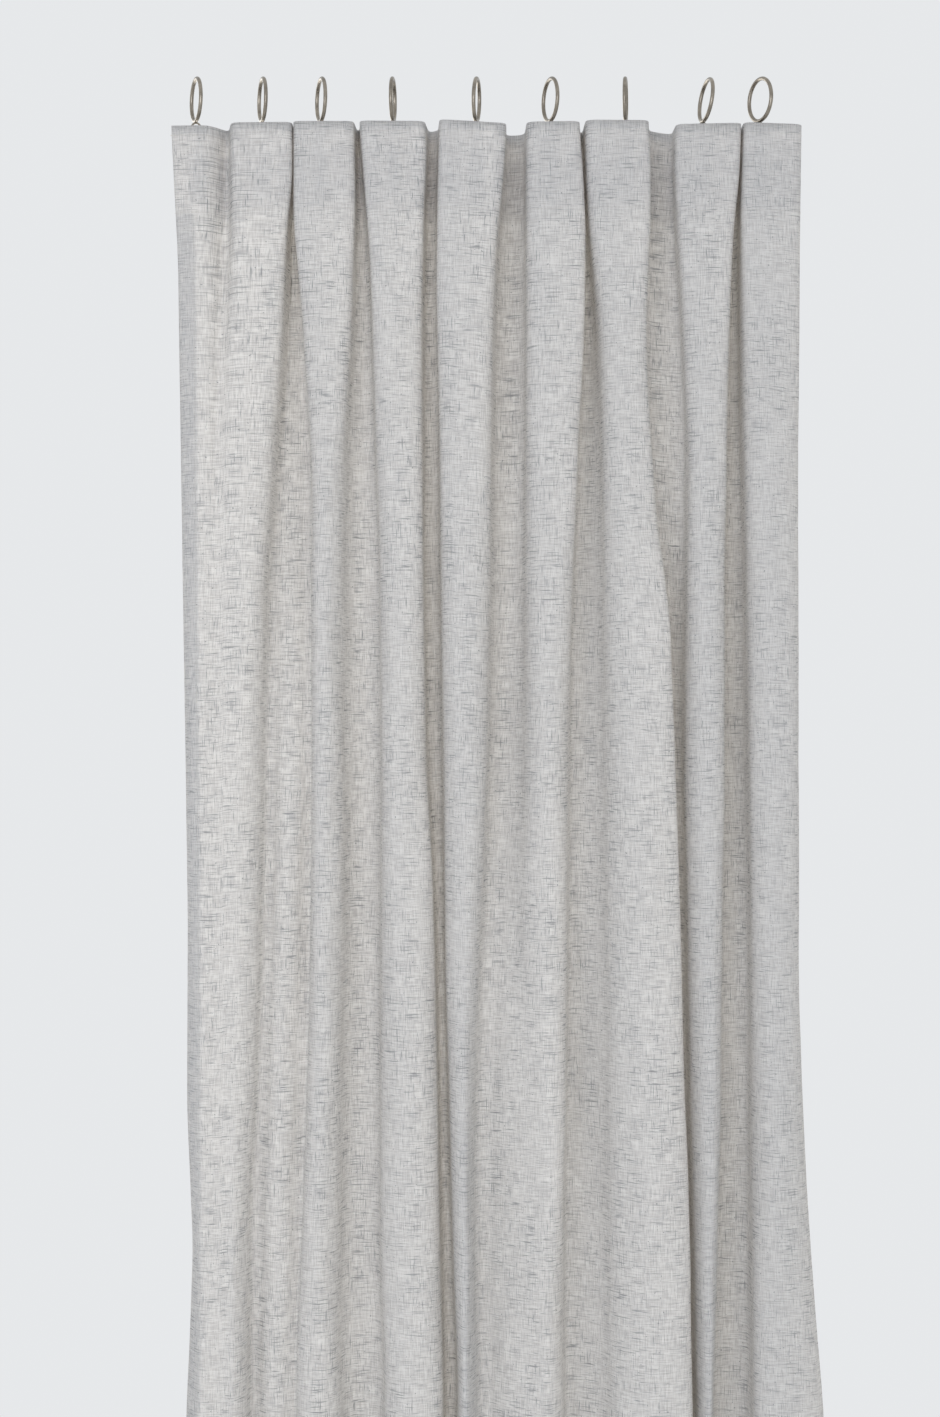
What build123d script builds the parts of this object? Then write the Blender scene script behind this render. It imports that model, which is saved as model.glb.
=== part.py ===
"""Fabric curtain panel, hung in folds from nine hooks and rings.

Millimetres, +Z up.  X runs along the pole, and -Y is the room side.  The origin is on
the pole's axis, at the middle of the hung panel.  The pole itself is not part of it.
The leading edge, which is drawn across the window, is at -X; the fixed end is at +X.
"""
import os
from collections import namedtuple

from build123d import *

# ---------------------------------------------------------------- driving dimensions

# The pole that the rings are hung on
pole_diameter = 25.0

# Ring: a welded wire hoop with a small eyelet under it
ring_bore = 34.8
ring_wire = 3.6
eyelet_bore = 6.0
eyelet_wire = 1.8
eyelet_weld = 0.6

# Hook: one bent wire, with an arch over the eyelet and a prong up into the tape's pocket
hook_wire = 1.6
hook_arch_radius = 2.5
hook_tip_length = 10.0
hook_seat_gap = 0.25
prong_length = 36.0

# Cloth
drop = 2130.0
cloth_wall = 1.2
fold_radius = 6.0
bottom_hem_height = 100.0
heading_gap = 0.3
split_gap = 0.6

# Heading tape, sewn along the back of the cloth, and its pocket for a hook
tape_height = 75.0
tape_wall = 0.8
tape_inset = 7.0
seam_gap = 0.1
pocket_wall = 0.6
pocket_height = 44.0
pocket_margin = 12.0
pocket_clearance = 0.2
stem_gap = 0.3

# The folds, from the leading edge to the fixed end.  left and right are the outer faces
# of a fold's two sides, ring_turn is the ring's angle about Z where it hangs at rest,
# and ring_lean tips its top towards +X.
Fold = namedtuple("Fold", "hook_x left right ring_turn ring_lean")
folds = [
    Fold(hook_x=-268, left=-290, right=-238, ring_turn=19, ring_lean=0),
    Fold(hook_x=-207, left=-234, right=-180, ring_turn=14, ring_lean=0),
    Fold(hook_x=-153, left=-178, right=-122, ring_turn=15, ring_lean=0),
    Fold(hook_x=-87, left=-117, right=-56, ring_turn=-4, ring_lean=0),
    Fold(hook_x=-11, left=-45, right=16, ring_turn=-8, ring_lean=2),
    Fold(hook_x=58, left=36, right=85, ring_turn=18, ring_lean=0),
    Fold(hook_x=127, left=91, right=150, ring_turn=-6, ring_lean=0),
    Fold(hook_x=198, left=174, right=233, ring_turn=12, ring_lean=7),
    Fold(hook_x=251, left=236, right=290, ring_turn=25, ring_lean=0),
]

# How far behind the pole's axis the cloth turns, between each fold and the next
trough_backs = [14, 38, 30, 38, 46, 42, 36, 42]

# The fixed end turns back to the wall, and leans outwards as it goes
return_back = 46.0
return_flare = 13.0

# ---------------------------------------------------------------- places worked out

ring_radius = (ring_bore + ring_wire) / 2
ring_centre_z = pole_diameter / 2 - ring_bore / 2
ring_bottom_z = ring_centre_z - ring_radius - ring_wire / 2

eyelet_radius = (eyelet_bore + eyelet_wire) / 2
eyelet_centre_z = ring_bottom_z + eyelet_weld - eyelet_wire / 2 - eyelet_radius
eyelet_seat_z = eyelet_centre_z - eyelet_bore / 2

arch_centre_z = eyelet_seat_z + hook_seat_gap + hook_wire / 2 - hook_arch_radius

# From the hook's stem towards the room: pocket, prong, tape, cloth
stem_y = -hook_arch_radius
pocket_back_y = stem_y - hook_wire / 2 - stem_gap
prong_y = pocket_back_y - pocket_wall - pocket_clearance - hook_wire / 2
tape_back_y = prong_y - hook_wire / 2 - pocket_clearance
crest_y = tape_back_y - tape_wall - seam_gap - cloth_wall / 2

heading_z = ring_bottom_z - heading_gap
bottom_z = heading_z - drop
tape_top_z = heading_z - tape_inset
pocket_bottom_z = tape_top_z - tape_height + pocket_margin
hook_bend_radius = (stem_y - prong_y) / 2
hook_bend_z = pocket_bottom_z - hook_seat_gap + hook_bend_radius - hook_wire / 2


# ---------------------------------------------------------------- folded strips

def trough_corner_radius(run):
    """The turn at a trough is as round as its half of the trough's floor allows."""
    return min(fold_radius, 0.9 * run)


def strip_line(index, offset=0.0):
    """Centre line of one fold seen from above, and the radius of each of its corners.

    offset moves it towards the cloth's back, which is inside the fold.
    """
    fold = folds[index]
    inset = cloth_wall / 2 + offset
    front = crest_y + offset
    left, right = fold.left + inset, fold.right - inset
    points = []
    radii = []
    if index == 0:
        points.append((fold.left, front))
    else:
        split = (folds[index - 1].right + fold.left) / 2 + split_gap / 2
        back = trough_backs[index - 1] + offset
        points += [(split, back), (left, back), (left, front)]
        run = fold.left + cloth_wall / 2 - split
        radii += [trough_corner_radius(run) + offset, fold_radius - offset]
    if index == len(folds) - 1:
        points += [(right, front), (right + return_flare, return_back)]
        radii.append(fold_radius - offset)
    else:
        split = (fold.right + folds[index + 1].left) / 2 - split_gap / 2
        back = trough_backs[index] + offset
        points += [(right, front), (right, back), (split, back)]
        run = split - fold.right + cloth_wall / 2
        radii += [fold_radius - offset, trough_corner_radius(run) + offset]
    return points, radii


def strip(index, top_z, height, wall, offset=0.0):
    """A folded strip of cloth or tape, hanging down from top_z."""
    points, radii = strip_line(index, offset)
    line = FilletPolyline(*points, radius=radii)
    section = trace(line, line_width=wall)
    return Pos(0, 0, top_z - height) * extrude(section, height, dir=(0, 0, 1))


# ---------------------------------------------------------------- the pieces

def cloth_fold(index):
    """One fold of the cloth, with the double turn-up of the bottom hem behind it."""
    cloth = strip(index, heading_z, drop, cloth_wall)
    hem_top_z = bottom_z + bottom_hem_height
    return cloth + strip(index, hem_top_z, bottom_hem_height, cloth_wall, offset=cloth_wall)


def heading_tape(index):
    """The tape along one fold, with the woven pocket that takes the hook's prong."""
    offset = cloth_wall / 2 + seam_gap + tape_wall / 2
    tape = strip(index, tape_top_z, tape_height, tape_wall, offset)
    inner_width = hook_wire + 2 * pocket_clearance
    inner_depth = tape_back_y - pocket_back_y - pocket_wall
    outer_width = inner_width + 2 * pocket_wall
    depth = pocket_back_y - tape_back_y
    centre_z = pocket_bottom_z + pocket_height / 2
    place = Pos(folds[index].hook_x, (pocket_back_y + tape_back_y) / 2, centre_z)
    sleeve = place * Box(outer_width, depth, pocket_height)
    hollow_y = tape_back_y - inner_depth / 2
    hollow = Pos(folds[index].hook_x, hollow_y, centre_z)
    return tape + sleeve - hollow * Box(inner_width, abs(inner_depth), pocket_height)


def hook(index):
    """Tip, arch over the eyelet, stem, bend, and prong up inside the pocket."""
    middle_y = (stem_y + prong_y) / 2
    tip = Line((0, hook_arch_radius, arch_centre_z - hook_tip_length), (0, hook_arch_radius, arch_centre_z))
    arch = ThreePointArc(
        (0, hook_arch_radius, arch_centre_z),
        (0, 0, arch_centre_z + hook_arch_radius),
        (0, stem_y, arch_centre_z),
    )
    stem = Line((0, stem_y, arch_centre_z), (0, stem_y, hook_bend_z))
    bend = ThreePointArc(
        (0, stem_y, hook_bend_z),
        (0, middle_y, hook_bend_z - hook_bend_radius),
        (0, prong_y, hook_bend_z),
    )
    prong = Line((0, prong_y, hook_bend_z), (0, prong_y, hook_bend_z + prong_length))
    path = Wire([tip, arch, stem, bend, prong])
    wire_end = Plane(origin=path @ 0, z_dir=path % 0) * Circle(hook_wire / 2)
    return Pos(folds[index].hook_x, 0, 0) * sweep(wire_end, path)


def ring(index):
    """The hoop and its eyelet, turned and leaned about the place where it holds the hook."""
    fold = folds[index]
    hoop = Pos(0, 0, ring_centre_z) * Torus(ring_radius, ring_wire / 2, rotation=(0, 90, 0))
    eyelet = Pos(0, 0, eyelet_centre_z) * Torus(eyelet_radius, eyelet_wire / 2, rotation=(90, 0, 0))
    seat = Pos(0, 0, eyelet_seat_z)
    turned = Rot(0, 0, fold.ring_turn) * Rot(0, fold.ring_lean, 0)
    return Pos(fold.hook_x, 0, 0) * seat * turned * seat.inverse() * (hoop + eyelet)


makers = {
    "cloth_fold": cloth_fold,
    "heading_tape": heading_tape,
    "hook": hook,
    "ring": ring,
}

os.makedirs("parts", exist_ok=True)
for name, make in makers.items():
    for index in range(len(folds)):
        export_step(make(index), f"parts/{name}_{index + 1}.step")
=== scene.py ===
import math
from collections import namedtuple

import bpy
import numpy as np
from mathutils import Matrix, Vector


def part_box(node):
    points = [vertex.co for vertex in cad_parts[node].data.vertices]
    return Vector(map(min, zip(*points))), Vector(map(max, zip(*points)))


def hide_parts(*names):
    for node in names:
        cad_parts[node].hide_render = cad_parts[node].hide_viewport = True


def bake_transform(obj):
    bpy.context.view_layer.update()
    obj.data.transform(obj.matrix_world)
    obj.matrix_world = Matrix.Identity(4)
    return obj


# A curtain panel in stacked folds.  Metres, +Z up, -Y is the room side, X runs along the
# pole.  The origin is on the pole's axis, at the middle of the panel.

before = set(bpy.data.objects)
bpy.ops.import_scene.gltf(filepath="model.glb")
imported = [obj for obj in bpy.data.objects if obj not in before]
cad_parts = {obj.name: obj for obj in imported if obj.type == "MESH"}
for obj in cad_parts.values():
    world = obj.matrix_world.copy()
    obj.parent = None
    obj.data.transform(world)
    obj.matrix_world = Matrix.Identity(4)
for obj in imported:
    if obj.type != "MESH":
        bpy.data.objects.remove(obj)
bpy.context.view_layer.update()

MM = 0.001
FOLD_COUNT = 9
FOLDS = range(1, FOLD_COUNT + 1)

# Sizes taken from the frame
HOOK_X = [(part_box(f"hook_{k}")[0].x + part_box(f"hook_{k}")[1].x) / 2 for k in FOLDS]
CAD_WALL = 1.2 * MM
CREST_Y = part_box("cloth_fold_2")[0].y + CAD_WALL / 2
HEADING_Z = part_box("cloth_fold_2")[1].z
HEM_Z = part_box("cloth_fold_2")[0].z
LENGTH = HEADING_Z - HEM_Z
TAPE_TOP = HEADING_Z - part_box("heading_tape_2")[1].z
TAPE_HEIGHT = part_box("heading_tape_2")[1].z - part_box("heading_tape_2")[0].z

# The cloth as it was cut
FLAT_WIDTH = 1.35
FLAT_LENGTH = 2.13
CLOTH_WALL = 0.8 * MM
BOTTOM_HEM = 100 * MM
SIDE_HEM = 25 * MM


# ------------------------------------------------------------------ camera, light, floor

# The camera looks level and square at the panel's upper part
LENS = 63.5
VIEW_X = -0.016
VIEW_Z = -0.565
VIEW_DISTANCE = 2.3
FLOOR_REACH = 2.6
FLOOR_GAP = 12 * MM


def aim(thing, target):
    """Turn a camera or lamp at thing's place to look at target."""
    direction = Vector(target) - thing.location
    thing.rotation_euler = direction.to_track_quat("-Z", "Y").to_euler()


def add_camera():
    data = bpy.data.cameras.new("camera")
    data.lens = LENS
    camera = bpy.data.objects.new("camera", data)
    camera.location = (VIEW_X, -VIEW_DISTANCE, VIEW_Z)
    bpy.context.scene.collection.objects.link(camera)
    aim(camera, (VIEW_X, 0, VIEW_Z))
    bpy.context.scene.camera = camera


def add_lamp(name, place, target, size, power, colour):
    """A soft rectangular lamp at place, which shines at target and isn't seen itself."""
    data = bpy.data.lights.new(name, "AREA")
    data.shape = "RECTANGLE"
    data.size, data.size_y = size
    data.energy = power
    data.color = linear(colour)[:3]
    lamp = bpy.data.objects.new(name, data)
    lamp.location = place
    bpy.context.scene.collection.objects.link(lamp)
    lamp.visible_camera = False
    aim(lamp, target)


def linear(hex_colour):
    """An sRGB hex colour as linear RGBA."""
    channels = [int(hex_colour[i:i + 2], 16) / 255 for i in (1, 3, 5)]
    return [c / 12.92 if c <= 0.04045 else ((c + 0.055) / 1.055) ** 2.4 for c in channels] + [1.0]


def add_room_light():
    """A pale room with soft daylight all round, and a window behind the leading edge."""
    world = bpy.data.worlds.new("room")
    bpy.context.scene.world = world
    world.use_nodes = True
    background = world.node_tree.nodes["Background"]
    background.inputs["Color"].default_value = linear("#eff1f3")
    background.inputs["Strength"].default_value = 0.92
    add_lamp("key", (-0.7, -2.6, -0.5), (0, 0, -1.1), (1.6, 1.6), 20, "#f4f7ff")
    add_lamp("window", (-0.52, 0.85, -0.65), (-0.14, 0, -0.90), (0.7, 1.7), 6.6, "#fffdf8")
    bpy.context.scene.view_settings.view_transform = "Standard"


def add_floor():
    """A floor just below the hem."""
    mesh = bpy.data.meshes.new("floor")
    reach = FLOOR_REACH
    corners = [(-reach, -reach), (reach, -reach), (reach, reach), (-reach, reach)]
    level = HEM_Z - FLOOR_GAP
    mesh.from_pydata([(x, y, level) for x, y in corners], [], [(0, 1, 2, 3)])
    floor = bpy.data.objects.new("floor", mesh)
    bpy.context.scene.collection.objects.link(floor)
    mesh.materials.append(pale_floor())


# ------------------------------------------------------------------ material helpers

def node(tree, kind, inputs=None, settings=None, **values):
    """Add a node.  inputs are sockets or plain values by input name or number, settings
    belong to the node itself, and values are inputs with plain values by name."""
    new = tree.nodes.new(kind)
    for key, value in (settings or {}).items():
        setattr(new, key, value)
    set_values(new, values)
    for key, value in (inputs or {}).items():
        if isinstance(value, bpy.types.NodeSocket):
            tree.links.new(value, new.inputs[key])
        else:
            new.inputs[key].default_value = value
    return new


def set_values(target, values):
    for key, value in values.items():
        target.inputs[key.replace("_", " ")].default_value = value


def new_material(name, **values):
    """A material's node tree and its main shader, with the shader's inputs set to values."""
    material = bpy.data.materials.new(name)
    material.use_nodes = True
    shader = material.node_tree.nodes["Principled BSDF"]
    set_values(shader, values)
    return material, material.node_tree, shader


def maths(tree, operation, first, second, clamp=False):
    settings = {"operation": operation, "use_clamp": clamp}
    return node(tree, "ShaderNodeMath", {0: first, 1: second}, settings).outputs[0]


def blend_colours(tree, factor, first, second):
    """first where factor is 0, second where it is 1.  A colour is a hex string or a socket."""
    ends = [linear(end) if isinstance(end, str) else end for end in (first, second)]
    mix = node(tree, "ShaderNodeMix", {0: factor, 6: ends[0], 7: ends[1]}, {"data_type": "RGBA"})
    return mix.outputs[2]


def grain(tree, place, scale, detail):
    """Noise at place, with about scale grains to the metre."""
    return node(tree, "ShaderNodeTexNoise", {"Vector": place}, Scale=scale, Detail=detail).outputs[0]


def on_surface(tree):
    """The place on the piece, in metres."""
    return node(tree, "ShaderNodeTexCoord").outputs["Object"]


def along_threads(tree):
    """The place on the flat cloth, in metres."""
    return node(tree, "ShaderNodeUVMap", settings={"uv_map": "threads"}).outputs[0]


def threads(tree, cloth_uv, across, along, detail=2.0):
    """Streaks of thread.  across is a streak's size from warp to warp and along its size
    down the cloth, so a warp thread is short across and long along."""
    stretched = node(tree, "ShaderNodeMapping", {"Vector": cloth_uv}, Scale=(1 / across, 1 / along, 1))
    noise = node(tree, "ShaderNodeTexNoise", {"Vector": stretched.outputs[0]},
                 {"noise_dimensions": "2D"}, Scale=1.0, Detail=detail, Roughness=0.55)
    return noise.outputs[0]


def between(tree, value, low, high):
    """0 below low, 1 above high, and a ramp between them."""
    return node(tree, "ShaderNodeMapRange", {"Value": value}, From_Min=low, From_Max=high).outputs[0]


def spread(tree, value, low, high):
    """low where value is 0, high where it is 1."""
    return node(tree, "ShaderNodeMapRange", {"Value": value}, To_Min=low, To_Max=high).outputs[0]


def raise_grain(tree, shader, height, strength, depth):
    """Relief of the surface from a height pattern."""
    bump = node(tree, "ShaderNodeBump", {"Height": height}, Strength=strength, Distance=depth)
    tree.links.new(bump.outputs[0], shader.inputs["Normal"])


def let_light_through(tree, shader, colour, share):
    """Make share of the surface translucent, so that light from behind shows in colour."""
    glow = node(tree, "ShaderNodeBsdfTranslucent", {"Color": colour})
    mix = node(tree, "ShaderNodeMixShader", {0: share, 1: shader.outputs[0], 2: glow.outputs[0]})
    tree.links.new(mix.outputs[0], tree.nodes["Material Output"].inputs["Surface"])


# ------------------------------------------------------------------ materials

# How wide the cloth's and the tape's threads are drawn
THREAD = 1.0 * MM
SLUB = 1.2 * MM
TAPE_RIB = 1.3 * MM


def linen_look():
    """Slub-yarn plain weave of linen and polyester, light neutral grey.

    The eye sees a fine cross-hatch of lighter and darker threads, darker thick places that
    run a few centimetres along single weft threads and shorter ones along the warp, and a
    warm glow where light comes through.  The threads are drawn a little wider than they
    are, so that they show.
    """
    material, tree, shader = new_material(
        "linen_look_cloth", Roughness=0.92, Specular_IOR_Level=0.2, Sheen_Weight=0.10, Sheen_Roughness=0.5)
    uv = along_threads(tree)
    warp = threads(tree, uv, THREAD, 15 * MM)
    weft = threads(tree, uv, 17 * MM, THREAD)
    both = maths(tree, "MULTIPLY", maths(tree, "ADD", warp, weft), 0.5)
    # slubs: thick places in the yarn, in clusters
    cloudy = between(tree, threads(tree, uv, 55 * MM, 90 * MM, 3.0), 0.34, 0.62)
    often = maths(tree, "ADD", maths(tree, "MULTIPLY", cloudy, 0.6), 0.4)
    weft_slub = between(tree, threads(tree, uv, 24 * MM, SLUB, 2.5), 0.60, 0.75)
    warp_slub = between(tree, threads(tree, uv, SLUB, 16 * MM, 2.5), 0.61, 0.76)
    slubs = maths(tree, "MAXIMUM", weft_slub, maths(tree, "MULTIPLY", warp_slub, 0.85))
    slubs = maths(tree, "MULTIPLY", slubs, often)
    knots = between(tree, threads(tree, uv, 3.2 * MM, 2.6 * MM, 1.0), 0.76, 0.84)
    slubs = maths(tree, "MAXIMUM", slubs, maths(tree, "MULTIPLY", knots, 0.8))
    # what the front shows
    ground = blend_colours(tree, between(tree, both, 0.36, 0.64), "#e2e3e5", "#e8e9eb")
    colour = blend_colours(tree, maths(tree, "MULTIPLY", slubs, 0.34), ground, "#7c6f5e")
    tree.links.new(colour, shader.inputs["Base Color"])
    relief = maths(tree, "ADD", both, maths(tree, "MULTIPLY", slubs, 0.35))
    raise_grain(tree, shader, relief, 0.22, 0.5 * MM)
    # what light from behind shows: open places in the weave, and slubs that stop the light
    open_weave = blend_colours(tree, between(tree, both, 0.38, 0.60), "#c0b7ab", "#fffbf4")
    stopped = maths(tree, "MULTIPLY", slubs, 1.5, clamp=True)
    let_light_through(tree, shader, blend_colours(tree, stopped, open_weave, "#2c2420"), 0.46)
    return material


def woven_tape():
    """Woven cotton and polyester tape, off-white: close fine threads along its length."""
    material, tree, shader = new_material("woven_heading_tape", Roughness=0.85, Sheen_Weight=0.1)
    uv = along_threads(tree)
    ribs = threads(tree, uv, 30 * MM, TAPE_RIB)
    picks = threads(tree, uv, THREAD, 9 * MM)
    mixed = maths(tree, "ADD", maths(tree, "MULTIPLY", ribs, 0.6), maths(tree, "MULTIPLY", picks, 0.4))
    colour = blend_colours(tree, between(tree, mixed, 0.3, 0.7), "#dedddc", "#f1f0ef")
    tree.links.new(colour, shader.inputs["Base Color"])
    raise_grain(tree, shader, mixed, 0.4, 0.4 * MM)
    let_light_through(tree, shader, linear("#fdfcfc"), 0.85)
    return material


def sewing_thread():
    """Spun polyester thread, light grey, with a slight lustre along its twist."""
    material, tree, shader = new_material("sewing_thread", Roughness=0.6)
    colour = blend_colours(tree, grain(tree, on_surface(tree), 900.0, 1.0), "#c4bfb8", "#e2dfda")
    tree.links.new(colour, shader.inputs["Base Color"])
    return material


def satin_nickel():
    """Steel wire plated with satin nickel: warm grey metal, finely brushed, soft glints."""
    material, tree, shader = new_material("satin_nickel_plate", Metallic=1.0)
    place = on_surface(tree)
    fine = grain(tree, place, 1400.0, 3.0)
    worn = grain(tree, place, 120.0, 2.0)
    colour = blend_colours(tree, between(tree, worn, 0.35, 0.7), "#867f75", "#a49c90")
    tree.links.new(colour, shader.inputs["Base Color"])
    tree.links.new(spread(tree, fine, 0.20, 0.38), shader.inputs["Roughness"])
    raise_grain(tree, shader, fine, 0.08, 0.05 * MM)
    return material


def zinc_wire():
    """Drawn steel wire plated with bright zinc: cool grey, with fine draw marks."""
    material, tree, shader = new_material("zinc_plated_wire", Metallic=1.0)
    drawn = node(tree, "ShaderNodeMapping", {"Vector": on_surface(tree)}, Scale=(2600, 2600, 160))
    marks = grain(tree, drawn.outputs[0], 1.0, 2.0)
    tree.links.new(blend_colours(tree, marks, "#a9abad", "#c9cbcd"), shader.inputs["Base Color"])
    tree.links.new(spread(tree, marks, 0.18, 0.36), shader.inputs["Roughness"])
    return material


def pale_floor():
    """Matt pale floor, a little uneven in tone."""
    material, tree, shader = new_material("pale_floor", Roughness=0.8)
    colour = blend_colours(tree, grain(tree, on_surface(tree), 2.0, 2.0), "#dcdcda", "#e4e4e2")
    tree.links.new(colour, shader.inputs["Base Color"])
    return material


# ------------------------------------------------------------------ how the cloth hangs

# A line that runs down the cloth where it turns.  across is its place along the pole and
# back its place towards the wall, each as (drop below the pole's axis, value) knots.
# turn is how far from the line the cloth starts to bend round it, at the heading and
# lower down.
Line = namedtuple("Line", "across back turn")

TIGHT = [(0.03, 0.007), (0.20, 0.009), (0.60, 0.012), (2.15, 0.016)]
SOFT = [(0.03, 0.009), (0.20, 0.014), (0.60, 0.022), (2.15, 0.026)]
FACE = [(0.03, 0.012), (0.30, 0.024), (2.15, 0.030)]


def crest(middle, forward):
    """Back knots for the middle of a fold's face: forward is how far it swells below."""
    return [(0.03, CREST_Y), (0.12, CREST_Y - 0.001), (middle, CREST_Y - forward),
            (2.15, CREST_Y - forward)]


def side(forward=0.004):
    """Back knots for the two sides of a fold's face."""
    return [(0.03, CREST_Y), (0.12, CREST_Y), (0.50, CREST_Y + forward), (2.15, CREST_Y + forward)]


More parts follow.
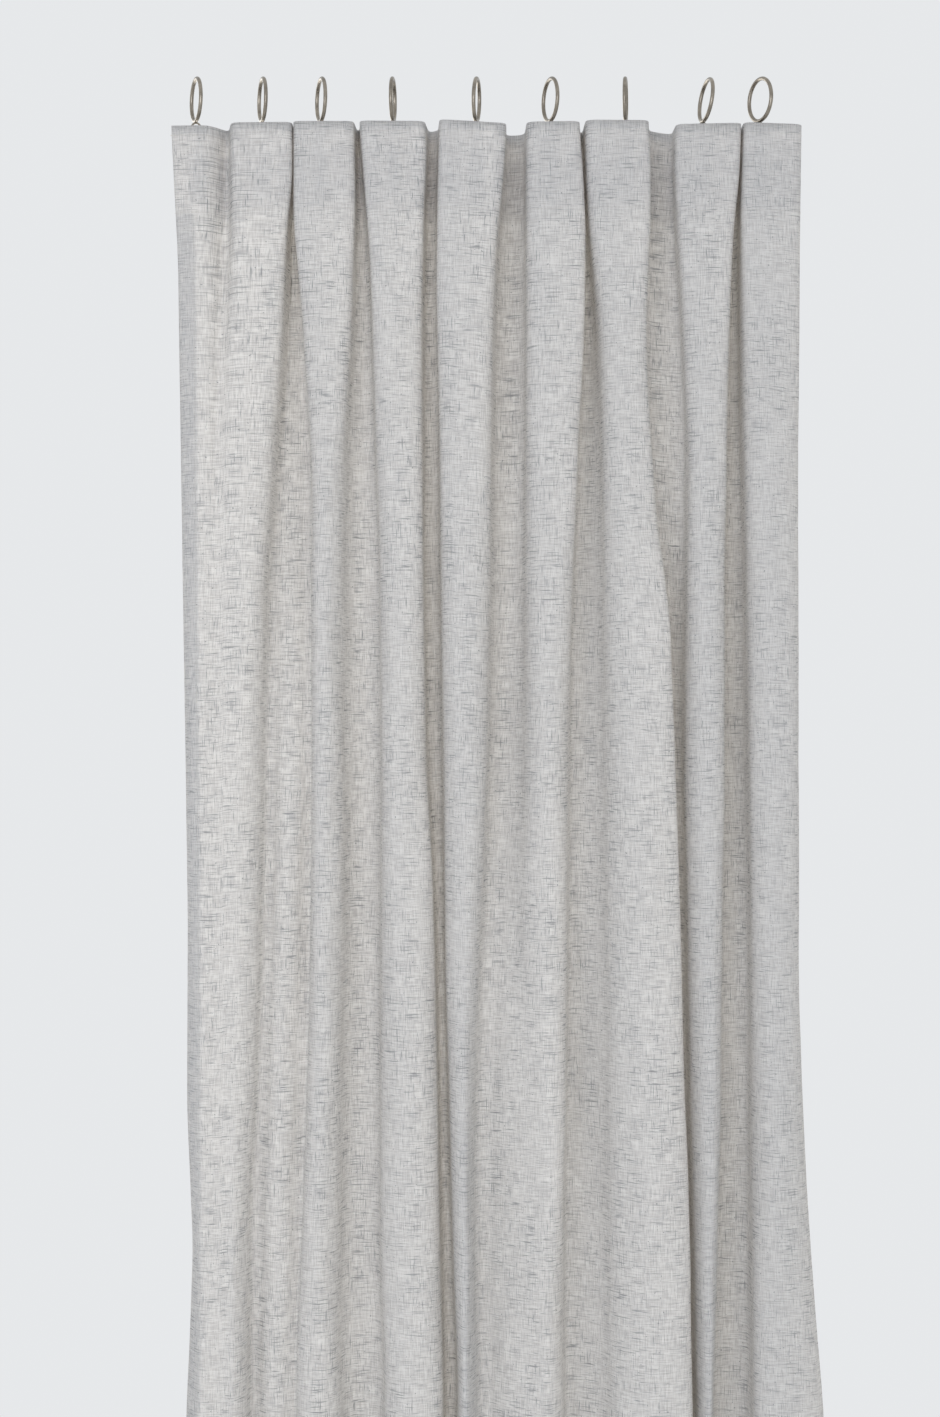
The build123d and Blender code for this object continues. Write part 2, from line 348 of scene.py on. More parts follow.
LINES = [
    # fold 1: the leading edge, a soft face, and a shallow valley that fades out
    Line([(0.03, -0.290), (0.15, -0.284), (0.45, -0.280), (0.76, -0.2755), (0.93, -0.2765), (1.06, -0.271),
          (1.14, -0.2735), (1.22, -0.277), (2.15, -0.283)],
         [(0.03, CREST_Y), (0.12, -0.004), (0.50, 0.002), (1.20, 0.004), (2.15, 0.006)], TIGHT),
    Line([(0.03, -0.280), (0.15, -0.277), (0.45, -0.274), (1.06, -0.266), (2.15, -0.275)],
         [(0.03, CREST_Y), (0.12, CREST_Y), (0.30, -0.009), (0.60, -0.010), (2.15, -0.011)], TIGHT),
    Line([(0.03, -0.268), (0.30, -0.264), (0.80, -0.260), (2.15, -0.264)],
         [(0.03, CREST_Y), (0.12, CREST_Y), (0.30, -0.011), (0.60, -0.013), (2.15, -0.015)], FACE),
    Line([(0.03, -0.2560), (0.15, -0.2560), (0.80, -0.253), (2.15, -0.256)],
         [(0.03, CREST_Y), (0.12, -0.006), (0.30, -0.010), (0.60, -0.013), (2.15, -0.015)], FACE),
    Line([(0.03, -0.2395), (0.12, -0.2400), (0.20, -0.244), (0.30, -0.248), (2.15, -0.249)],
         [(0.03, 0.020), (0.12, 0.018), (0.18, 0.011), (0.26, 0.000), (0.40, -0.009), (0.60, -0.0125),
          (2.15, -0.014)], SOFT),
    # fold 2
    Line([(0.03, -0.235), (0.15, -0.232), (0.40, -0.236), (2.15, -0.240)],
         [(0.03, CREST_Y), (0.20, -0.009), (0.50, -0.014), (2.15, -0.016)],
         [(0.03, 0.007), (0.20, 0.012), (0.40, 0.022), (2.15, 0.026)]),
    Line([(0.03, -0.207), (0.25, -0.212), (0.45, -0.223), (0.80, -0.228), (1.20, -0.233), (2.15, -0.230)],
         [(0.03, CREST_Y), (0.12, -0.009), (0.50, -0.016), (2.15, -0.018)], FACE),
    Line([(0.03, -0.180), (0.08, -0.179), (0.12, -0.185), (0.20, -0.189), (0.26, -0.1925), (0.32, -0.198),
          (0.39, -0.204), (0.46, -0.2075), (0.63, -0.210), (0.81, -0.213), (0.92, -0.216), (1.01, -0.222),
          (1.20, -0.2225), (2.15, -0.215)],
         [(0.03, CREST_Y), (0.12, CREST_Y), (0.50, -0.004), (2.15, -0.003)], TIGHT),
    # the turn back behind folds 2 and 3, from which a soft fold grows lower down
    Line([(0.03, -0.1798), (0.12, -0.184), (0.22, -0.187), (0.33, -0.194), (0.45, -0.202), (0.63, -0.2045),
          (0.81, -0.2085), (0.92, -0.212), (1.01, -0.217), (1.20, -0.2175), (2.15, -0.209)],
         [(0.03, 0.038), (0.30, 0.036), (0.60, 0.026), (1.20, 0.024), (2.15, 0.030)], SOFT),
    Line([(0.03, -0.1793), (0.12, -0.1815), (0.20, -0.1805), (0.33, -0.182), (0.45, -0.184), (0.67, -0.185),
          (0.81, -0.189), (0.93, -0.192), (1.06, -0.196), (1.20, -0.200), (2.15, -0.191)],
         [(0.03, 0.038), (0.30, 0.036), (0.45, 0.022), (0.60, 0.008), (0.80, 0.001), (1.20, -0.002),
          (2.15, 0.0)], SOFT),
    Line([(0.03, -0.1788), (0.12, -0.1785), (0.20, -0.1705), (0.33, -0.1615), (0.45, -0.1605),
          (0.63, -0.1600), (0.81, -0.1615), (0.92, -0.1645), (1.03, -0.1685), (1.17, -0.1745),
          (2.15, -0.1655)],
         [(0.03, 0.038), (0.30, 0.036), (0.60, 0.028), (1.20, 0.018), (2.15, 0.024)], SOFT),
    # fold 3
    Line([(0.03, -0.178), (0.12, -0.178), (0.20, -0.1705), (0.26, -0.167), (0.32, -0.163), (0.38, -0.1615),
          (0.45, -0.163), (0.71, -0.1625), (0.81, -0.164), (0.92, -0.167), (1.03, -0.171), (1.17, -0.177),
          (2.15, -0.168)], side(0.006), TIGHT),
    Line([(0.03, -0.153), (0.30, -0.149), (0.60, -0.151), (1.00, -0.155), (1.20, -0.158), (2.15, -0.152)],
         crest(0.50, 0.007), FACE),
    Line([(0.03, -0.1235), (0.10, -0.122), (0.22, -0.127), (0.33, -0.134), (0.45, -0.1365), (0.90, -0.1375),
          (1.07, -0.140), (1.15, -0.1415), (1.22, -0.139), (2.15, -0.134)], side(0.005), TIGHT),
    # the turn back behind folds 3 and 4: a flat floor that the light comes through
    Line([(0.03, -0.1215), (0.20, -0.1225), (0.33, -0.127), (0.63, -0.128), (0.90, -0.130), (1.20, -0.132),
          (2.15, -0.126)], [(0.03, 0.030), (0.40, 0.034), (2.15, 0.038)], SOFT),
    Line([(0.03, -0.1188), (0.14, -0.110), (0.22, -0.107), (0.32, -0.104), (0.42, -0.100), (0.63, -0.099),
          (1.09, -0.0995), (1.17, -0.096), (2.15, -0.103)],
         [(0.03, 0.030), (0.40, 0.034), (2.15, 0.038)], SOFT),
    # fold 4
    Line([(0.03, -0.117), (0.14, -0.108), (0.22, -0.105), (0.32, -0.102), (0.42, -0.0985), (0.63, -0.097),
          (0.92, -0.0975), (1.01, -0.0985), (1.09, -0.0975), (1.17, -0.094), (2.15, -0.100)],
         side(0.006), TIGHT),
    Line([(0.03, -0.087), (0.30, -0.083), (0.60, -0.079), (1.00, -0.072), (1.20, -0.069), (2.15, -0.074)],
         crest(0.50, 0.008), FACE),
    Line([(0.03, -0.059), (0.045, -0.056), (0.10, -0.059), (0.18, -0.061), (0.42, -0.061), (0.50, -0.060),
          (0.62, -0.0575), (0.71, -0.051), (0.81, -0.049), (0.92, -0.046), (1.09, -0.044), (1.19, -0.042),
          (2.15, -0.046)], side(0.003), TIGHT),
    # the narrow turn back behind folds 4 and 5
    Line([(0.03, -0.0545), (0.10, -0.0575), (0.42, -0.0590), (0.62, -0.0555), (0.81, -0.0475),
          (1.20, -0.0405), (2.15, -0.044)],
         [(0.03, 0.038), (0.40, 0.042), (2.15, 0.044)], TIGHT),
    Line([(0.03, -0.0455), (0.10, -0.0470), (0.42, -0.0445), (0.63, -0.0415), (0.81, -0.0395),
          (1.01, -0.0345), (1.20, -0.0275), (2.15, -0.033)],
         [(0.03, 0.038), (0.40, 0.042), (2.15, 0.044)], TIGHT),
    # fold 5, which narrows to a ridge
    Line([(0.03, -0.0435), (0.10, -0.0455), (0.18, -0.0465), (0.26, -0.0445), (0.32, -0.043),
          (0.52, -0.041), (0.63, -0.039), (0.81, -0.0375), (0.93, -0.034), (1.01, -0.032), (1.09, -0.030),
          (1.17, -0.026), (2.15, -0.031)], side(0.004), TIGHT),
    Line([(0.03, -0.011), (0.20, -0.017), (0.45, -0.019), (0.80, -0.022), (1.20, -0.021), (2.15, -0.015)],
         crest(0.50, 0.010), FACE),
    Line([(0.03, 0.017), (0.08, 0.014), (0.13, 0.0075), (0.18, 0.005), (0.22, 0.003), (0.44, 0.001),
          (0.54, -0.0015), (0.63, -0.0025), (0.71, -0.006), (0.77, -0.009), (0.85, -0.0125),
          (0.93, -0.0145), (1.01, -0.016), (1.22, -0.014), (2.15, 0.000)], side(0.002), TIGHT),
    # the turn back behind folds 5 and 6, which comes forward until fold 6 takes it in
    Line([(0.03, 0.018), (0.13, 0.011), (0.30, 0.007), (0.60, 0.004), (0.80, -0.004), (0.93, -0.008),
          (1.20, -0.007), (2.15, 0.006)],
         [(0.03, 0.046), (0.30, 0.044), (0.63, 0.038), (0.90, 0.030), (1.20, 0.026), (2.15, 0.034)], SOFT),
    Line([(0.03, 0.0355), (0.30, 0.035), (0.60, 0.032), (0.90, 0.022), (1.20, 0.018), (2.15, 0.026)],
         [(0.03, 0.046), (0.30, 0.042), (0.50, 0.036), (0.63, 0.024), (0.90, 0.008), (1.20, 0.004),
          (2.15, 0.012)], SOFT),
    # fold 6
    Line([(0.03, 0.0365), (0.50, 0.037), (0.63, 0.038), (0.90, 0.040), (1.20, 0.042), (2.15, 0.044)],
         [(0.03, CREST_Y), (0.30, CREST_Y + 0.003), (0.63, -0.001), (0.90, -0.006), (2.15, -0.004)], SOFT),
    Line([(0.03, 0.058), (0.45, 0.059), (1.20, 0.056), (2.15, 0.058)], crest(0.50, 0.006), FACE),
    Line([(0.03, 0.0835), (0.055, 0.0865), (0.12, 0.090), (0.18, 0.0895), (0.24, 0.088), (0.32, 0.083),
          (0.42, 0.079), (0.52, 0.075), (0.63, 0.073), (0.80, 0.072), (0.93, 0.0705), (1.01, 0.068),
          (1.13, 0.0675), (1.20, 0.0695), (2.15, 0.072)], side(0.004), TIGHT),
    # the turn back behind folds 6 and 7
    Line([(0.03, 0.0868), (0.12, 0.0905), (0.20, 0.0905), (0.32, 0.086), (0.52, 0.079), (0.80, 0.076),
          (1.20, 0.073), (2.15, 0.076)], [(0.03, 0.042), (0.40, 0.044), (2.15, 0.044)], TIGHT),
    Line([(0.03, 0.0895), (0.12, 0.0935), (0.20, 0.100), (0.32, 0.104), (0.52, 0.105), (0.80, 0.106),
          (1.20, 0.107), (2.15, 0.104)],
         [(0.03, 0.042), (0.20, 0.040), (0.40, 0.032), (0.70, 0.026), (2.15, 0.030)], SOFT),
    # fold 7, the widest, which swells over fold 8
    Line([(0.03, 0.0905), (0.08, 0.0915), (0.13, 0.095), (0.16, 0.099), (0.20, 0.104), (0.26, 0.107),
          (0.32, 0.108), (0.46, 0.111), (0.63, 0.114), (0.80, 0.1155), (0.92, 0.118), (1.20, 0.119),
          (2.15, 0.114)], side(0.006), SOFT),
    Line([(0.03, 0.127), (0.20, 0.126), (0.35, 0.129), (0.50, 0.138), (0.70, 0.146), (1.20, 0.154),
          (2.15, 0.153)], crest(0.60, 0.013), FACE),
    Line([(0.03, 0.147), (0.06, 0.150), (0.12, 0.150), (0.18, 0.147), (0.22, 0.146), (0.28, 0.148),
          (0.36, 0.153), (0.40, 0.156), (0.44, 0.163), (0.48, 0.168), (0.56, 0.1715), (0.63, 0.174),
          (0.73, 0.178), (0.85, 0.1815), (0.93, 0.183), (0.99, 0.186), (1.08, 0.188), (1.22, 0.190),
          (2.15, 0.190)], side(-0.003), TIGHT),
    # the turn back behind folds 7 and 8, which closes
    Line([(0.03, 0.151), (0.20, 0.148), (0.33, 0.152), (0.44, 0.160), (0.52, 0.164), (0.63, 0.169),
          (0.80, 0.174), (1.00, 0.180), (1.20, 0.184), (2.15, 0.186)],
         [(0.03, 0.036), (2.15, 0.042)], TIGHT),
    Line([(0.03, 0.1725), (0.12, 0.1745), (0.22, 0.1805), (0.32, 0.1845), (0.63, 0.1825), (0.90, 0.186),
          (1.05, 0.189), (1.20, 0.192), (2.15, 0.200)], [(0.03, 0.036), (2.15, 0.042)], TIGHT),
    # fold 8
    Line([(0.03, 0.174), (0.07, 0.1725), (0.12, 0.176), (0.17, 0.179), (0.22, 0.182), (0.32, 0.186),
          (0.45, 0.185), (0.63, 0.1835), (0.71, 0.1855), (0.90, 0.188), (1.05, 0.191), (1.20, 0.194),
          (2.15, 0.201)],
         [(0.03, CREST_Y), (0.12, CREST_Y), (0.50, -0.002), (0.90, 0.006), (2.15, 0.006)], TIGHT),
    Line([(0.03, 0.198), (0.12, 0.199), (0.30, 0.203), (0.60, 0.202), (1.20, 0.202), (2.15, 0.209)],
         crest(0.50, 0.005), FACE),
    Line([(0.03, 0.233), (0.08, 0.2315), (0.11, 0.227), (0.16, 0.224), (0.22, 0.222), (0.37, 0.2195),
          (0.52, 0.2185), (0.63, 0.2175), (0.81, 0.216), (0.93, 0.2155), (1.01, 0.2125), (1.10, 0.210),
          (1.20, 0.2075), (2.15, 0.217)], side(0.004), TIGHT),
    # the turn back behind folds 8 and 9
    Line([(0.03, 0.2338), (0.11, 0.229), (0.22, 0.224), (0.52, 0.2205), (0.93, 0.2175), (1.20, 0.2105),
          (2.15, 0.220)], [(0.03, 0.042), (0.50, 0.045), (2.15, 0.046)], TIGHT),
    Line([(0.03, 0.2352), (0.18, 0.2345), (0.32, 0.2365), (0.52, 0.2405), (0.81, 0.2440), (1.20, 0.2445),
          (2.15, 0.241)], [(0.03, 0.042), (0.50, 0.045), (2.15, 0.046)], TIGHT),
    # fold 9 and the return to the wall, which flares towards the floor
    Line([(0.03, 0.236), (0.11, 0.2335), (0.18, 0.235), (0.26, 0.2365), (0.42, 0.2405), (0.63, 0.2425),
          (0.81, 0.245), (0.93, 0.246), (1.20, 0.246), (2.15, 0.243)], side(0.005), TIGHT),
    Line([(0.03, 0.251), (0.12, 0.252), (0.45, 0.261), (1.20, 0.271), (2.15, 0.282)],
         crest(0.50, 0.007), FACE),
    Line([(0.03, 0.2895), (0.14, 0.2885), (0.63, 0.2885), (0.80, 0.2895), (0.93, 0.294), (1.01, 0.2975),
          (1.09, 0.303), (1.16, 0.309), (1.22, 0.314), (1.50, 0.320), (2.15, 0.324)],
         [(0.03, CREST_Y), (0.12, CREST_Y), (0.50, -0.003), (1.00, 0.002), (2.15, 0.006)], SOFT),
    Line([(0.03, 0.285), (0.63, 0.285), (0.80, 0.286), (1.01, 0.293), (1.22, 0.308), (2.15, 0.318)],
         [(0.03, 0.046), (0.63, 0.046), (1.20, 0.052), (2.15, 0.054)], TIGHT),
]
# Which line is the middle of each fold's face, where its hook holds it
HOOK_LINES = [2, 6, 12, 17, 22, 27, 32, 37, 42]
# How far the top edge is below the pole's axis, as (place along the pole, drop)
TOP_EDGE = [(-0.290, 0.0305), (-0.240, 0.0300), (-0.234, 0.0275), (-0.180, 0.0270), (-0.178, 0.0262),
            (-0.122, 0.0262), (-0.117, 0.0258), (-0.056, 0.0262), (-0.044, 0.0245), (0.016, 0.0280),
            (0.036, 0.0268), (0.084, 0.0262), (0.091, 0.0250), (0.149, 0.0254), (0.174, 0.0290),
            (0.233, 0.0278), (0.236, 0.0272), (0.290, 0.0292)]

# The heading's usual drop, at which the lines' knots are read, and the end of that scale
HEADING_DROP = 0.027
LOWEST_DROP = 2.3
# How far a corner between knots is eased, and the step in which that is worked out
SMOOTHING = 0.030
FINE_STEP = 0.002
# Rows of points down the cloth, and the part of their spacing that is even: the rest makes
# them closer at the top
ROWS = 165
EVEN_PART = 0.72
# Columns of points round each line and on the flat before it, and the largest share of the
# way to the next line that a turn may take
TURN_STEPS = 4
FLAT_STEPS = 1
LARGEST_TURN = 0.47
# Columns to each side of a fold's middle that its face surely has
FACE_COLUMNS = 3
# The small unevenness: (width, height, depth in mm) of each size of wave, how many of each,
# and which way they push the cloth.  The heading is calm down to CALM_DROP.
RUFFLES = ((0.11, 0.55, 0.9), (0.06, 0.21, 0.45), (0.028, 0.08, 0.16))
RUFFLES_OF_A_SIZE = 4
RUFFLE_SEED = 7
RUFFLE_WAY = (0.25, -1.0, 0.0)
CALM_DROP = 0.08
CALM_FADE = 0.15


def follow(knots, drops):
    """The value at each drop of a curve through the knots, with their corners eased."""
    grid = np.arange(0, LOWEST_DROP, FINE_STEP)
    raw = np.interp(grid, *zip(*knots))
    reach = int(SMOOTHING / FINE_STEP)
    weights = np.hanning(2 * reach + 3)[1:-1]
    eased = np.convolve(np.pad(raw, reach, mode="edge"), weights / weights.sum(), "valid")
    return np.interp(drops, grid, eased)


def bezier(start, corner, end, t):
    """The point at t, 0 to 1, of the curve that cuts the corner from start to end."""
    return (1 - t) ** 2 * start + 2 * t * (1 - t) * corner + t ** 2 * end


def row_drops(share):
    """How far below the heading each row is, for shares 0 to 1: closer rows at the top."""
    return FLAT_LENGTH * (EVEN_PART * share + (1 - EVEN_PART) * share ** 2)


def hang_cloth(rows):
    """The middle surface of the hung cloth as a grid of points, and each point's thread.

    Returns places (rows, columns, 3), threads (rows, columns, 2) and the hooks' columns.
    A thread is its distance from the leading edge and from the heading on the flat cloth.
    """
    down = row_drops(np.linspace(0, 1, rows))
    drops = down + HEADING_DROP
    corners = [np.stack([follow(line.across, drops), follow(line.back, drops)], axis=1) for line in LINES]
    turns = [follow(line.turn, drops) for line in LINES]
    columns = [corners[0]]
    hook_columns = []
    previous_end = corners[0]
    for index in range(1, len(LINES) - 1):
        before = corners[index - 1] - corners[index]
        after = corners[index + 1] - corners[index]
        length_before = np.linalg.norm(before, axis=1)
        length_after = np.linalg.norm(after, axis=1)
        reach_before = np.minimum(turns[index], LARGEST_TURN * length_before) / length_before
        reach_after = np.minimum(turns[index], LARGEST_TURN * length_after) / length_after
        start = corners[index] + before * reach_before[:, None]
        end = corners[index] + after * reach_after[:, None]
        for step in range(1, FLAT_STEPS + 1):
            share = step / (FLAT_STEPS + 1)
            columns.append(previous_end * (1 - share) + start * share)
        for step in range(TURN_STEPS):
            columns.append(bezier(start, corners[index], end, step / (TURN_STEPS - 1)))
        if index in HOOK_LINES:
            hook_columns.append(len(columns) - TURN_STEPS // 2)
        previous_end = end
    for step in range(1, FLAT_STEPS + 1):
        share = step / (FLAT_STEPS + 1)
        columns.append(previous_end * (1 - share) + corners[-1] * share)
    columns.append(corners[-1])
    plan = np.stack(columns, axis=1)
    run = np.linalg.norm(np.diff(plan, axis=1), axis=2)
    run = np.concatenate([np.zeros((rows, 1)), np.cumsum(run, axis=1)], axis=1)
    threads_across = even_threads(run, hook_columns)
    top = np.interp(plan[0, :, 0], *zip(*TOP_EDGE))
    z = -(top[None, :] + down[:, None] * (LENGTH - (top[None, :] + HEADING_Z)) / FLAT_LENGTH)
    places = np.concatenate([plan, z[:, :, None]], axis=2)
    flat_down = np.repeat(down[:, None], plan.shape[1], axis=1)
    return places, np.stack([threads_across, flat_down], axis=2), hook_columns


def even_threads(run, hook_columns):
    """Thread numbers across the cloth, the same at each hook in every row."""
    marks = [0, *hook_columns, run.shape[1] - 1]
    typical = np.median(run, axis=0)
    across = np.empty_like(run)
    for first, last in zip(marks, marks[1:]):
        part = slice(first, last + 1)
        share = (run[:, part] - run[:, [first]]) / (run[:, [last]] - run[:, [first]])
        across[:, part] = typical[first] + share * (typical[last] - typical[first])
    return across * FLAT_WIDTH / typical[-1]


def outward(places):
    """Unit normals of a grid of points, towards the room where a face is flat."""
    along = np.gradient(places, axis=1)
    down = np.gradient(places, axis=0)
    normals = np.cross(down, along)
    return normals / np.linalg.norm(normals, axis=2, keepdims=True)


def ruffle(places, threads_at):
    """Small unevenness of the hung cloth, mostly to and from the room."""
    across, down = threads_at[..., 0], threads_at[..., 1]
    rng = np.random.default_rng(RUFFLE_SEED)
    total = np.zeros(across.shape)
    for wide, tall, depth in RUFFLES:
        for _ in range(RUFFLES_OF_A_SIZE):
            phase_across, phase_down = rng.uniform(0, 2 * math.pi, 2)
            often_across, often_down = rng.uniform(0.6, 1.5, 2)
            wave_across = np.sin(2 * math.pi * often_across * across / wide + phase_across)
            wave_down = np.sin(2 * math.pi * often_down * down / tall + phase_down)
            total += depth * MM * wave_across * wave_down
    calm = np.clip((down - CALM_DROP) / CALM_FADE, 0, 1)
    return places + (total * calm)[..., None] * np.array(RUFFLE_WAY)


def threads_at_hooks(hung, hook_columns):
    """The thread that passes in front of each hook."""
    row = np.searchsorted(hung.threads[:, 0, 1], POCKET_TOP + POCKET_HEIGHT / 2)
    found = []
    for column, x in zip(hook_columns, HOOK_X):
        face = slice(column - FACE_COLUMNS, column + FACE_COLUMNS + 1)
        found.append(np.interp(x, hung.places[row, face, 0], hung.threads[row, face, 0]))
    return found


# ------------------------------------------------------------------ layers of the panel

# A grid of points on the cloth's middle surface, each point's thread, and its normal
Hung = namedtuple("Hung", "places threads normals")


def patch(hung, down_places, across_places=None):
    """Part of the hung cloth: rows at down_places and columns at across_places, both in
    metres of flat cloth, or every column that the cloth has."""
    rows = hung.threads[:, 0, 1]
    layers = np.concatenate([hung.places, hung.threads, hung.normals], axis=2)
    row = np.clip(np.searchsorted(rows, down_places, side="right") - 1, 0, len(rows) - 2)
    share = ((down_places - rows[row]) / (rows[row + 1] - rows[row]))[:, None, None]
    found = layers[row] * (1 - share) + layers[row + 1] * share
    if across_places is not None:
        picked = [[np.interp(across_places, line[:, 3], line[:, j]) for j in range(8)] for line in found]
        found = np.moveaxis(np.array(picked), 1, 2)
    normals = found[..., 5:] / np.linalg.norm(found[..., 5:], axis=2, keepdims=True)
    return Hung(found[..., :3], found[..., 3:5], normals)


def layer(hung, thickness, behind):
    """Points, faces and threads of a closed layer of cloth that lies behind the middle
    surface.  behind is one distance, or one for each point of the grid."""
    rows, columns = hung.places.shape[:2]
    behind = np.broadcast_to(behind, (rows, columns))[..., None]
    front = hung.places + hung.normals * (thickness / 2 - behind)
    back = hung.places - hung.normals * (thickness / 2 + behind)
    count = rows * columns
    index = np.arange(count).reshape(rows, columns)
    a, b = index[:-1, :-1].ravel(), index[:-1, 1:].ravel()
    c, d = index[1:, 1:].ravel(), index[1:, :-1].ravel()
    faces = [np.stack([a, d, c, b], axis=1), np.stack([a, b, c, d], axis=1) + count]
    for edge in (index[0, :], index[::-1, 0], index[-1, ::-1], index[:, -1]):
        faces.append(np.stack([edge[:-1], edge[1:], edge[1:] + count, edge[:-1] + count], axis=1))
    points = np.concatenate([front.reshape(-1, 3), back.reshape(-1, 3)])
    threads_at = np.tile(hung.threads.reshape(-1, 2), (2, 1))
    return points, np.concatenate(faces), threads_at


def cloth_piece(name, layers, material):
    """One mesh of one or more layers, with each point's thread as its UV map."""
    points, faces, threads_at = [], [], []
    count = 0
    for layer_points, layer_faces, layer_threads in layers:
        points.append(layer_points)
        faces.append(layer_faces + count)
        threads_at.append(layer_threads)
        count += len(layer_points)
    mesh = bpy.data.meshes.new(name)
    mesh.from_pydata(np.concatenate(points).tolist(), [], np.concatenate(faces).tolist())
    corners = np.empty(len(mesh.loops), np.int32)
    mesh.loops.foreach_get("vertex_index", corners)
    flat = np.concatenate(threads_at)[corners]
    mesh.uv_layers.new(name="threads").data.foreach_set("uv", flat.astype(np.float32).ravel())
    mesh.polygons.foreach_set("use_smooth", np.ones(len(mesh.polygons), bool))
    mesh.materials.append(material)
    return put_in_scene(name, mesh)


def put_in_scene(name, mesh):
    """A piece from a mesh, put in the scene with its placing baked into its points."""
    piece = bpy.data.objects.new(name, mesh)
    bpy.context.scene.collection.objects.link(piece)
    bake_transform(piece)
    return piece


# How far behind the cloth's middle each layer's own middle lies, and the gaps between
# layers: one behind another, and edge to edge
LAYER_GAP = 0.05 * MM
EDGE_GAP = 0.2 * MM
TURN_GAP = 0.3 * MM
HEM_BEHIND = CLOTH_WALL + LAYER_GAP
TAPE_WALL = 0.6 * MM
TAPE_BEHIND = (CLOTH_WALL + TAPE_WALL) / 2 + LAYER_GAP
POCKET_WALL = 0.4 * MM
# The tape's pockets.  Their edges are woven into the tape, and an empty pocket bulges less
# than one with a hook's prong in it.
POCKET_WIDTH = 15 * MM
POCKET_SPACING = 22 * MM
POCKET_TOP = TAPE_TOP + 19 * MM
POCKET_HEIGHT = 44 * MM
POCKET_CLOSED = 0.12
POCKET_ROUND = 2.6
WOVEN_IN = 0.15 * MM
HOOKED_DEPTH = 3.9 * MM
EMPTY_DEPTH = TAPE_BEHIND + 1.1 * MM


def tape_pockets(hung, hook_threads):
    """The woven pockets of the tape: flat and empty, or opened by the prong of a hook."""
    pockets = []
    depths = []
    for first, last in zip([0, *hook_threads], [*hook_threads, FLAT_WIDTH]):
        count = round((last - first) / POCKET_SPACING)
        pockets += list(np.linspace(first, last, count + 1)[1:])
        depths += [EMPTY_DEPTH] * (count - 1) + [HOOKED_DEPTH]
    sideways = np.linspace(-1, 1, 11)
    downwards = np.linspace(0, 1, 9)
    opened = 1 - np.abs(sideways[None, :]) ** POCKET_ROUND
    closed_above = np.clip(downwards / POCKET_CLOSED, 0, 1)[:, None]
    woven = TAPE_BEHIND + (TAPE_WALL + POCKET_WALL) / 2 - WOVEN_IN
    for middle, depth in zip(pockets[:-1], depths[:-1]):
        across = middle + sideways * POCKET_WIDTH / 2
        part = patch(hung, POCKET_TOP + downwards * POCKET_HEIGHT, across)
        yield layer(part, POCKET_WALL, woven + (depth - woven) * opened * closed_above)


# ------------------------------------------------------------------ stitches

# How far a seam lies from its edge, and its thread's middle in front of its layer
SEAM_INSET = 2 * MM
THREAD_LIFT = 0.04 * MM
# Points along a seam down the cloth
SEAM_POINTS = 160


def tree_input(tree, name, kind, value):
    socket = tree.interface.new_socket(name=name, in_out="INPUT", socket_type=kind)
    if value is not None:
        socket.default_value = value


def stitch_tree(thread):
    """Lockstitches along seams: a small spindle of thread at every spacing."""
    tree = bpy.data.node_groups.new("stitches_along_seams", "GeometryNodeTree")
    tree_input(tree, "Seams", "NodeSocketGeometry", None)
    tree_input(tree, "Stitch spacing", "NodeSocketFloat", 3.2 * MM)
    tree_input(tree, "Stitch length", "NodeSocketFloat", 2.7 * MM)
    tree_input(tree, "Thread thickness", "NodeSocketFloat", 0.36 * MM)
    tree_input(tree, "Unevenness", "NodeSocketFloat", 0.12)
    tree_input(tree, "Seed", "NodeSocketInt", 3)
    tree_input(tree, "Thread", "NodeSocketMaterial", thread)
    tree.interface.new_socket(name="Stitches", in_out="OUTPUT", socket_type="NodeSocketGeometry")
    given = node(tree, "NodeGroupInput").outputs
    seams = node(tree, "GeometryNodeMeshToCurve", {0: given["Seams"]})
    spaced = node(tree, "GeometryNodeResampleCurve",
                  {"Curve": seams.outputs[0], "Length": given["Stitch spacing"]}, {"mode": "LENGTH"})
    spindle = node(tree, "GeometryNodeMeshUVSphere", {"Segments": 6, "Rings": 4, "Radius": 0.5})
    size = node(tree, "ShaderNodeCombineXYZ", {0: given["Thread thickness"], 1: given["Thread thickness"],
                                               2: given["Stitch length"]})
    stitch = node(tree, "GeometryNodeTransform", {"Geometry": spindle.outputs[0], "Scale": size.outputs[0]})
    smooth = node(tree, "GeometryNodeSetShadeSmooth", {"Geometry": stitch.outputs[0]})
    tangent = node(tree, "GeometryNodeInputTangent")
    turned = node(tree, "FunctionNodeAlignRotationToVector", {"Vector": tangent.outputs[0]}, {"axis": "Z"})
    least = maths(tree, "SUBTRACT", 1.0, given["Unevenness"])
    most = maths(tree, "ADD", 1.0, given["Unevenness"])
    uneven = node(tree, "FunctionNodeRandomValue", {2: least, 3: most, "Seed": given["Seed"]},
                  {"data_type": "FLOAT"})
    sewn = node(tree, "GeometryNodeInstanceOnPoints",
                {"Points": spaced.outputs[0], "Instance": smooth.outputs[0], "Rotation": turned.outputs[0],
                 "Scale": uneven.outputs[1]})
    real = node(tree, "GeometryNodeRealizeInstances", {0: sewn.outputs[0]})
    finished = node(tree, "GeometryNodeSetMaterial",
                    {"Geometry": real.outputs[0], "Material": given["Thread"]})
    node(tree, "NodeGroupOutput", {"Stitches": finished.outputs[0]})
    return tree


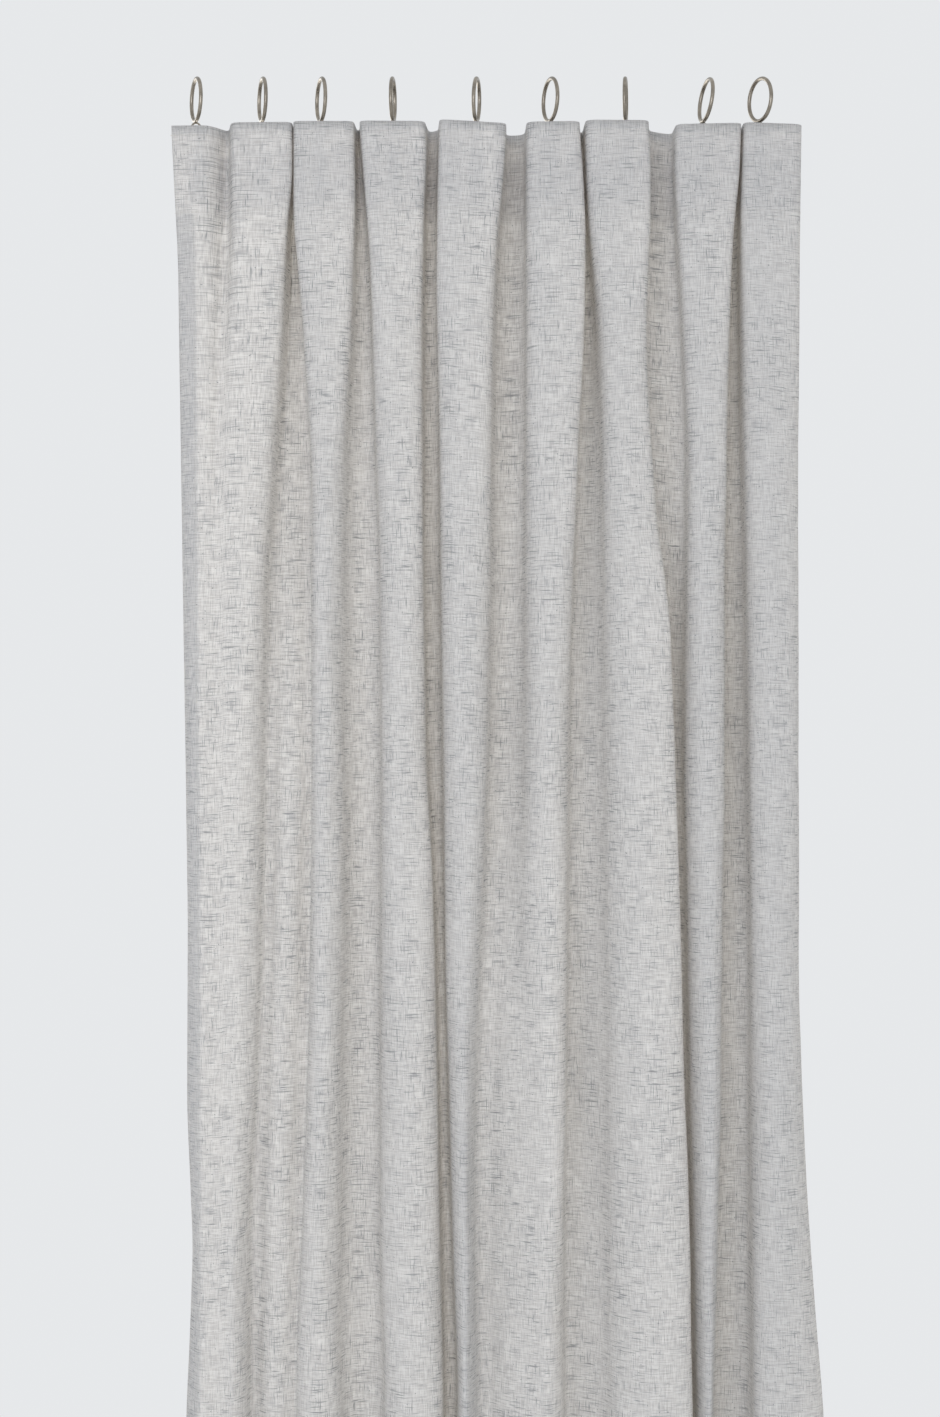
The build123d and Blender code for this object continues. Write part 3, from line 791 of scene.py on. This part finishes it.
def sew(name, tree, seams):
    """A row of stitches along each seam, as a plain mesh.  A seam is a list of points."""
    points, edges = [], []
    for seam in seams:
        first = len(points)
        points += [tuple(place) for place in seam]
        edges += [(i, i + 1) for i in range(first, len(points) - 1)]
    line = bpy.data.meshes.new(name)
    line.from_pydata(points, edges, [])
    guide = bpy.data.objects.new(name + "_guide", line)
    bpy.context.scene.collection.objects.link(guide)
    sewing = guide.modifiers.new("sewing", "NODES")
    sewing.node_group = tree
    evaluated = guide.evaluated_get(bpy.context.evaluated_depsgraph_get())
    mesh = bpy.data.meshes.new_from_object(evaluated)
    mesh.name = name
    bpy.data.objects.remove(guide)
    return put_in_scene(name, mesh)


def seam_across(hung, down, behind):
    """Points of a seam from side to side, behind the cloth's middle by that distance."""
    part = patch(hung, np.array([down]))
    return (part.places - part.normals * behind)[0]


def seam_down(hung, across, top, bottom, behind):
    """Points of a seam from top to bottom at one thread."""
    part = patch(hung, np.linspace(top, bottom, SEAM_POINTS), np.array([across]))
    return (part.places - part.normals * behind)[:, 0]


# ------------------------------------------------------------------ making the panel

add_camera()
add_room_light()
add_floor()

places, threads_at, hook_columns = hang_cloth(ROWS)
places = ruffle(places, threads_at)
hung = Hung(places, threads_at, outward(places))
hook_threads = threads_at_hooks(hung, hook_columns)
hem_top = FLAT_LENGTH - BOTTOM_HEM
tape_bottom = TAPE_TOP + TAPE_HEIGHT

linen = linen_look()
tape_cloth = woven_tape()

cloth = cloth_piece("curtain_cloth", [layer(hung, CLOTH_WALL, 0)], linen)
turned = patch(hung, np.linspace(0, TAPE_TOP - TURN_GAP, 3))
heading_turn = cloth_piece("heading_turn", [layer(turned, CLOTH_WALL, HEM_BEHIND)], linen)
turned_up = patch(hung, np.linspace(hem_top, FLAT_LENGTH, 10))
bottom_hem = cloth_piece("bottom_hem", [layer(turned_up, CLOTH_WALL, HEM_BEHIND)], linen)
side_rows = np.linspace(tape_bottom + EDGE_GAP, hem_top - EDGE_GAP, 150)
turned_in = [patch(hung, side_rows, np.linspace(near, far, 9))
             for near, far in ((0, SIDE_HEM), (FLAT_WIDTH - SIDE_HEM, FLAT_WIDTH))]
side_hems = cloth_piece("side_hems", [layer(part, CLOTH_WALL, HEM_BEHIND) for part in turned_in],
                        linen)
taped = patch(hung, np.linspace(TAPE_TOP, tape_bottom, 14))
tape = cloth_piece("heading_tape", [layer(taped, TAPE_WALL, TAPE_BEHIND)], tape_cloth)
pockets = cloth_piece("tape_pockets", list(tape_pockets(hung, hook_threads)), tape_cloth)

stitches = stitch_tree(sewing_thread())
front = -CLOTH_WALL / 2 - THREAD_LIFT
behind_tape = TAPE_BEHIND + TAPE_WALL / 2 + THREAD_LIFT
behind_hem = HEM_BEHIND + CLOTH_WALL / 2 + THREAD_LIFT
tape_seams = sew("tape_seams", stitches,
                 [seam_across(hung, down, behind)
                  for down in (TAPE_TOP + SEAM_INSET, tape_bottom - SEAM_INSET)
                  for behind in (front, behind_tape)])
bottom_seam = sew("bottom_hem_seam", stitches,
                  [seam_across(hung, hem_top + SEAM_INSET, behind) for behind in (front, behind_hem)])
side_seams = sew("side_hem_seams", stitches,
                 [seam_down(hung, across, tape_bottom + SEAM_INSET, hem_top - SEAM_INSET, behind)
                  for across in (SIDE_HEM - SEAM_INSET, FLAT_WIDTH - SIDE_HEM + SEAM_INSET)
                  for behind in (front, behind_hem)])

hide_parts(*[f"cloth_fold_{k}" for k in FOLDS])
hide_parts(*[f"heading_tape_{k}" for k in FOLDS])

nickel = satin_nickel()
zinc = zinc_wire()
for k in FOLDS:
    for kind, finish in (("ring", nickel), ("hook", zinc)):
        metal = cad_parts[f"{kind}_{k}"].data.materials
        metal.clear()
        metal.append(finish)
